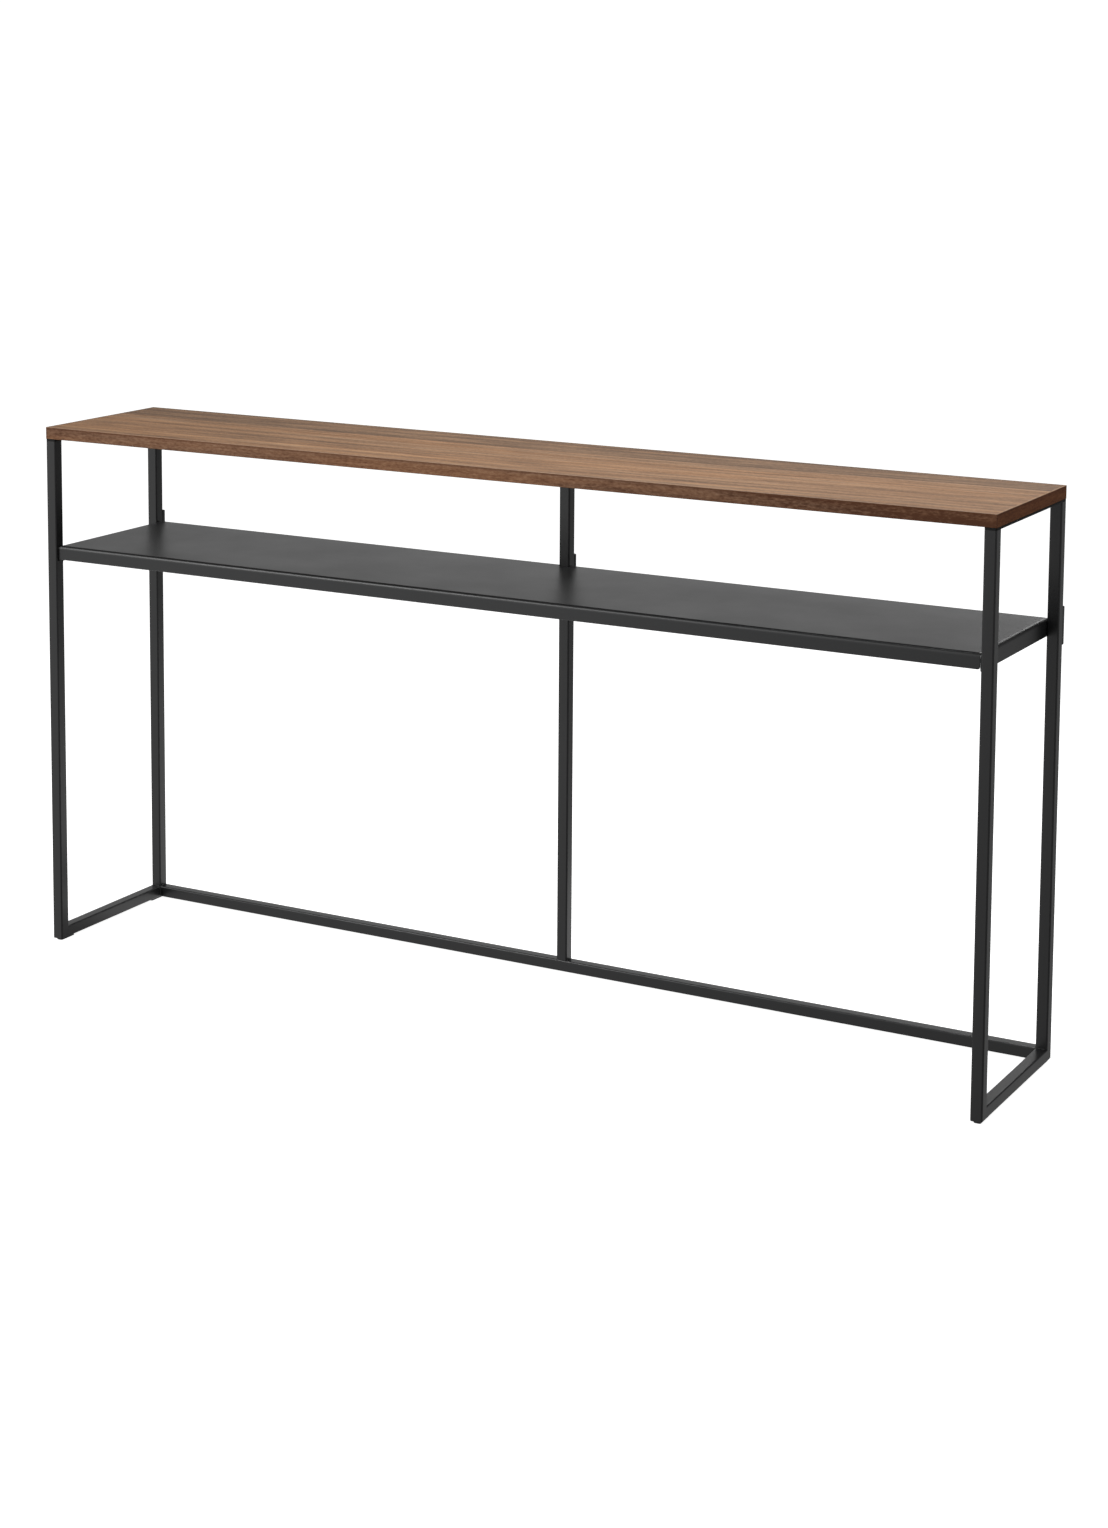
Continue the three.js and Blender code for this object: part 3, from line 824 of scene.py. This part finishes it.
# Up a glide's side: inset, and share of its height up to the rail.
GLIDE_SIDE = (
    (0.9 * MM, 0.0),
    (0.45 * MM, 0.04),
    (0.15 * MM, 0.4 / 3),
    (0.0, 0.8 / 3),
    (0.0, 2 / 3),
    (0.25 * MM, 2.15 / 3),
    (0.25 * MM, 1.0),
)


def glide(side, end):
    """A plastic pad with rounded edges and a shallow step all round, under the rail."""
    name = f"{side}_{end}_glide"
    low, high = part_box(name)
    rail_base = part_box(f"{side}_bottom_rail")[0].z
    size, centre = high - low, (low + high) / 2
    rings = []
    for inset, share in GLIDE_SIDE:
        ring = rounded_ring(size.x - 2 * inset, size.y - 2 * inset, GLIDE_CORNER - inset)
        height = low.z + (rail_base - low.z) * share
        rings.append([Vector((centre.x + a, centre.y + b, height)) for a, b in ring])
    vertices, faces = loft(rings)
    piece(name, vertices, faces, PLASTIC, name)


for side in ("left", "right"):
    for end in ("front", "back"):
        glide(side, end)


# ---- screws -----------------------------------------------------------------------------------------
SCREW_SIDES = 36
HEAD_STEPS = 6
# Shares of the head's radius.
HEAD_HEIGHT = 0.60
SOCKET_SIZE = 0.40
SHANK_SIZE = 0.47


def screw(name, direction):
    """A button-head screw with a hexagon socket. direction points from the head to the tip."""
    low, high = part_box(name)
    direction = Vector(direction)
    helper = Vector((0, 0, 1)) if abs(direction.z) < 0.5 else Vector((1, 0, 0))
    across = direction.cross(helper).normalized()
    up = direction.cross(across)
    centre, size = (low + high) / 2, high - low
    length = abs(size.dot(direction))
    head_radius = abs(size.dot(across)) / 2
    tip = centre + direction * (length / 2)
    head = HEAD_HEIGHT * head_radius
    socket = SOCKET_SIZE * head_radius
    shank = SHANK_SIZE * head_radius
    under = length - head

    def ring(radius, depth, sixfold=False):
        """A ring round the screw at a depth behind its tip. A sixfold one is the hexagon round it."""
        back = tip - direction * depth
        points = []
        for k in range(SCREW_SIDES):
            angle = 2 * math.pi * k / SCREW_SIDES
            from_flat = (angle + math.pi / 6) % (math.pi / 3) - math.pi / 6
            r = radius / math.cos(from_flat) if sixfold else radius
            points.append(back + across * (r * math.cos(angle)) + up * (r * math.sin(angle)))
        return points

    rings = [ring(0.15 * shank, 0.0), ring(shank, 0.9 * shank), ring(shank, under)]
    # The head is a short cylinder under a low dome.
    rings.append(ring(0.97 * head_radius, under))
    for k in range(1, HEAD_STEPS + 1):
        angle = QUARTER_TURN * k / HEAD_STEPS
        radius = head_radius * (0.55 + 0.45 * math.cos(angle))
        rings.append(ring(radius, under + 0.12 * head + 0.88 * head * math.sin(angle)))
    # Down into the socket: its rim, its walls and its floor.
    for share, depth in ((1.06, 0.0), (1.0, 0.06), (1.0, 0.6), (0.2, 0.68)):
        rings.append(ring(share * socket, length - depth * head, sixfold=True))
    vertices, faces = loft([list(reversed(r)) for r in rings])
    piece(name, vertices, faces, ZINC, name)


for which in ("left_front", "left_back", "right_front", "right_back", "post_left", "post_right"):
    screw(f"{which}_top_screw", (0, 0, 1))
for side, sign in (("left", -1), ("right", 1)):
    for end in ("front", "back"):
        screw(f"{side}_{end}_shelf_screw", (sign, 0, 0))
screw("post_shelf_screw", (0, 1, 0))


# ---- stage, light and camera ------------------------------------------------------------------------
FLOOR_HALF = 40.0
DOME_RADIUS = 60.0
DOME_SINK = 1.0
DOME_RINGS = 9
DOME_RISE = math.radians(10)
DOME_SIDES = 24
# Softboxes: name, place, aim, width and height, radiance.
SOFTBOXES = (
    ("key_front_left", (-2.3, -2.5, 1.7), (-0.4, 0.0, 0.5), (1.5, 1.1), 2.6),
    ("strip_front_left", (-2.2, -2.6, 2.75), (-0.3, 0.0, 0.6), (1.0, 0.28), 58.0),
    ("overhead", (0.25, 0.3, 2.4), (0.25, 0.0, 0.7), (1.1, 1.2), 9.6),
    ("behind", (0.38, 2.97, 1.73), (0.69, 0.0, 0.58), (0.9, 0.4), 4.4),
    ("low_front_left", (-1.38, -2.65, 0.20), (0.0, 0.0, 0.40), (0.75, 1.1), 0.52),
    ("floor_bounce", (-0.9, 0.95, -0.05), (-0.9, 0.95, 1.0), (2.4, 1.7), 0.70),
)
# The room's glow: direction, sharpness, strength.
ROOM_GLOWS = (
    ((-0.65, -0.75, 0.05), 6.0, 1.07),
    ((-0.39, 0.83, 0.12), 10.0, 0.66),
    ((0.40, 0.90, -0.50), 10.0, 0.31),
    ((0.92, -0.42, 0.25), 6.0, 0.70),
)
ROOM_LEVEL = 0.10


def camera_only(obj):
    """The camera sees it, but it neither lights, shades nor shows in the table."""
    obj.visible_diffuse = False
    obj.visible_glossy = False
    obj.visible_transmission = False
    obj.visible_volume_scatter = False
    obj.visible_shadow = False


def make_backdrop():
    """A pale floor out to the horizon, and a white dome above it."""
    size = FLOOR_HALF
    corners = [(-size, -size, 0), (size, -size, 0), (size, size, 0), (-size, size, 0)]
    floor = new_object("studio_floor", corners, [(0, 1, 2, 3)], FLOOR)
    rings = []
    for i in range(DOME_RINGS):
        radius = DOME_RADIUS * math.cos(DOME_RISE * i)
        height = DOME_RADIUS * math.sin(DOME_RISE * i) - DOME_SINK
        turns = [2 * math.pi * k / DOME_SIDES for k in range(DOME_SIDES)]
        rings.append([(radius * math.cos(turn), radius * math.sin(turn), height) for turn in turns])
    vertices, faces = loft(rings)
    # The dome is open below.
    dome = new_object("studio_dome", vertices, faces[1:], DOME)
    for obj in (floor, dome):
        camera_only(obj)


def softbox(name, place, aim, size, radiance):
    """An area light at a place, turned to its aim and hidden from the camera."""
    data = bpy.data.lights.new(name, "AREA")
    data.shape = "RECTANGLE"
    data.size, data.size_y = size
    data.energy = radiance * math.pi * size[0] * size[1]
    lamp = bpy.data.objects.new(name, data)
    bpy.context.scene.collection.objects.link(lamp)
    lamp.location = place
    lamp.rotation_euler = (Vector(aim) - Vector(place)).to_track_quat("-Z", "Y").to_euler()
    lamp.visible_camera = False


def make_room_light():
    """A dim room with four broad glows at its sides."""
    world = bpy.data.worlds.new("studio")
    bpy.context.scene.world = world
    world.use_nodes = True
    g = Graph(world.node_tree)
    direction = g.node("ShaderNodeTexCoord").outputs["Generated"]
    total = ROOM_LEVEL
    for axis, sharpness, strength in ROOM_GLOWS:
        dot = g.node("ShaderNodeVectorMath", operation="DOT_PRODUCT")
        g.feed(dot.inputs[0], direction)
        g.feed(dot.inputs[1], Vector(axis).normalized())
        lobe = g.math("POWER", g.math("MAXIMUM", dot.outputs["Value"], 0.0), sharpness)
        total = g.math("MULTIPLY_ADD", lobe, strength, total)
    background = g.tree.nodes["Background"]
    g.feed(background.inputs["Strength"], total)
    g.feed(background.inputs["Color"], (1, 1, 1, 1))


def make_camera():
    """The camera in the photograph's place, looking a little down."""
    data = bpy.data.cameras.new("camera")
    data.lens = CAMERA_LENS
    data.sensor_width = CAMERA_SENSOR
    data.shift_y = CAMERA_SHIFT
    camera = bpy.data.objects.new("camera", data)
    bpy.context.scene.collection.objects.link(camera)
    camera.matrix_world = (
        Matrix.Translation(CAMERA_PLACE)
        @ Matrix.Rotation(math.radians(CAMERA_TURN), 4, "Z")
        @ Matrix.Rotation(math.radians(90 - CAMERA_DOWN), 4, "X")
        @ Matrix.Rotation(math.radians(CAMERA_ROLL), 4, "Z")
    )
    bpy.context.scene.camera = camera


make_backdrop()
make_room_light()
for box in SOFTBOXES:
    softbox(*box)
make_camera()
bpy.context.scene.view_settings.view_transform = "Standard"
